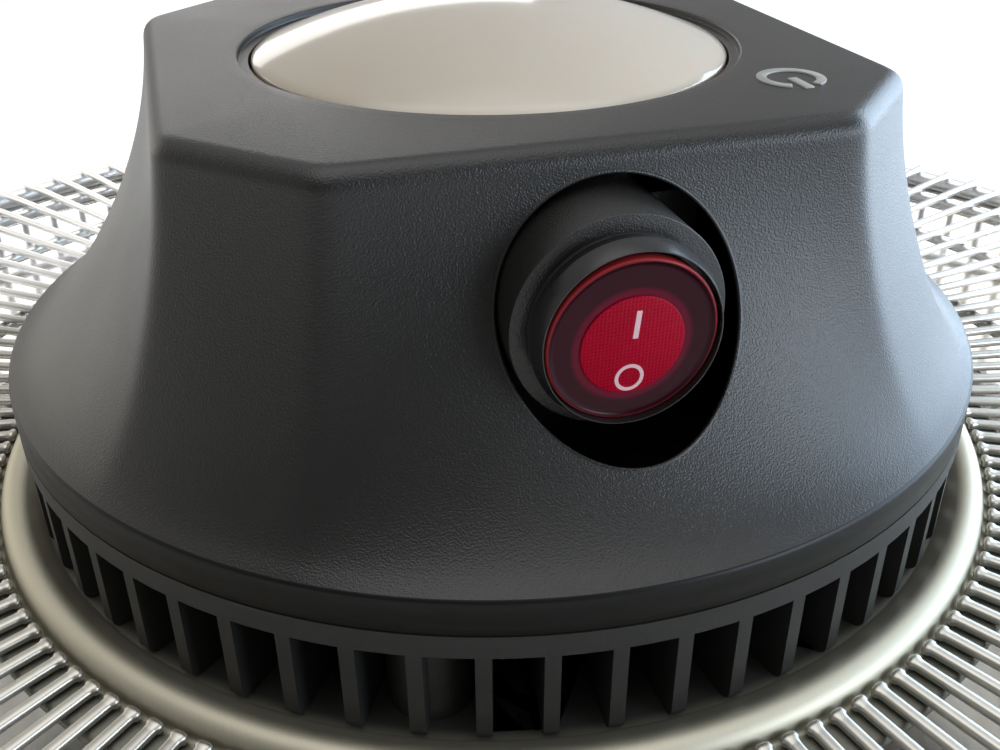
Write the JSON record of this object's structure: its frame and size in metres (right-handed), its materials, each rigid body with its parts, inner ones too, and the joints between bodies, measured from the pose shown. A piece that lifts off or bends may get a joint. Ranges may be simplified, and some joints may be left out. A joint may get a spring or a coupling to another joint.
{
  "type": "hanging parabolic heater",
  "caption": "Hanging infra-red dish heater lying on its rear housing: polished parabolic dish, fan-type wire guard, ring element, black centre pod with lamp dome and red round rocker switch.",
  "frame": {"origin": "centre of the rear housing's flat back, which the heater lies on", "axes": "+Z out of the dish through the lamp pod, -Y towards the switch, +X to the right of someone who faces the switch"},
  "size_m": [0.422, 0.422, 0.231],
  "materials": {
    "pod_black": "finely grained black plastic with a dull sheen",
    "fin_black": "black plastic, darker and a little smoother than the cover",
    "symbol_grey": "light grey inlay",
    "opal_dome": "glossy opal plastic, warm white",
    "soft_rubber": "smooth black rubber",
    "tray_metal": "bare sheet",
    "white_board": "white lacquered metal-core board",
    "chip_yellow": "phosphor-coated lamp chips",
    "screw_steel": "zinc-plated screws and nuts",
    "switch_black": "satin black plastic",
    "rocker_red": "translucent red plastic",
    "contact_brass": "bright contacts",
    "board_green": "solder mask",
    "relay_blue": "moulded case",
    "supply_yellow": "tape-wrapped core and bobbin",
    "bead_silver": "satin silver",
    "wire_silver": "bright plated wire",
    "dish_polished": "polished to a soft mirror",
    "shell_black": "fine black powder coat",
    "sheet_steel": "bare pressed steel",
    "quartz_tube": "milky quartz",
    "filament_wire": "oxidised resistance wire",
    "ceramic_white": "unglazed white ceramic",
    "block_cream": "moulded terminal block",
    "gland_black": "moulded nylon",
    "bail_steel": "zinc-plated strap"
  },
  "bodies": {
    "root": {"pod_cover": "pod_black", "power_symbol": "symbol_grey", "lamp_dome": "opal_dome", "dome_gasket": "soft_rubber", "led_tray": "tray_metal", "led_board": "white_board", "led_chips": "chip_yellow", "tray_screws": "screw_steel", "pod_base": "fin_black", "pod_screws": "screw_steel", "switch_carrier": "pod_black", "carrier_screws": "screw_steel", "switch_seal": "soft_rubber", "switch_body": "switch_black", "switch_terminals": "contact_brass", "control_board": "board_green", "relay": "relay_blue", "power_supply": "supply_yellow", "capacitor": "gland_black", "board_screws": "screw_steel", "guard_hub": "bead_silver", "guard_wires": "wire_silver", "guard_rings": "wire_silver", "guard_hoop": "wire_silver", "rim_clips": "sheet_steel", "reflector": "dish_polished", "reflector_screws": "screw_steel", "back_shell": "shell_black", "heat_shield": "sheet_steel", "centre_post": "sheet_steel", "post_nuts": "screw_steel", "heater_tube": "quartz_tube", "filament": "filament_wire", "tube_end_caps": "ceramic_white", "cap_bracket": "sheet_steel", "tube_clips": "sheet_steel", "rear_canopy": "shell_black", "canopy_screws": "screw_steel", "canopy_nuts": "screw_steel", "terminal_block": "block_cream", "thermal_cutout": "gland_black", "earth_screw": "contact_brass", "cable_gland": "gland_black", "gland_seal": "soft_rubber", "gland_nut": "gland_black", "gland_locknut": "gland_black", "bail_bolts": "screw_steel", "bail_washers": "gland_black", "bail_nuts": "screw_steel"},
    "rocker_body": {"rocker": "rocker_red", "rocker_plunger": "contact_brass", "plunger_spring": "screw_steel"},
    "lever_body": {"contact_lever": "contact_brass"},
    "bail_body": {"bail": "bail_steel"}
  },
  "joints": [
    {"name": "rocker_tilt", "type": "hinge", "parent": "root", "child": "rocker_body", "pos_m": [-0.0018, -0.0658, 0.2033], "axis": [-1, 0, 0], "range_deg": [0, 7]},
    {"name": "lever_tilt", "type": "hinge", "parent": "root", "child": "lever_body", "pos_m": [-0.0018, -0.0557, 0.2033], "axis": [-1, 0, 0], "range_deg": [-14.5, 0.5]},
    {"name": "bail_fold", "type": "hinge", "parent": "root", "child": "bail_body", "pos_m": [0, 0, 0.015], "axis": [-1, 0, 0], "range_deg": [0, 150]}
  ],
  "couplings": [
    {"joint": "lever_tilt", "follows": "rocker_tilt", "ratio": -2}
  ]
}
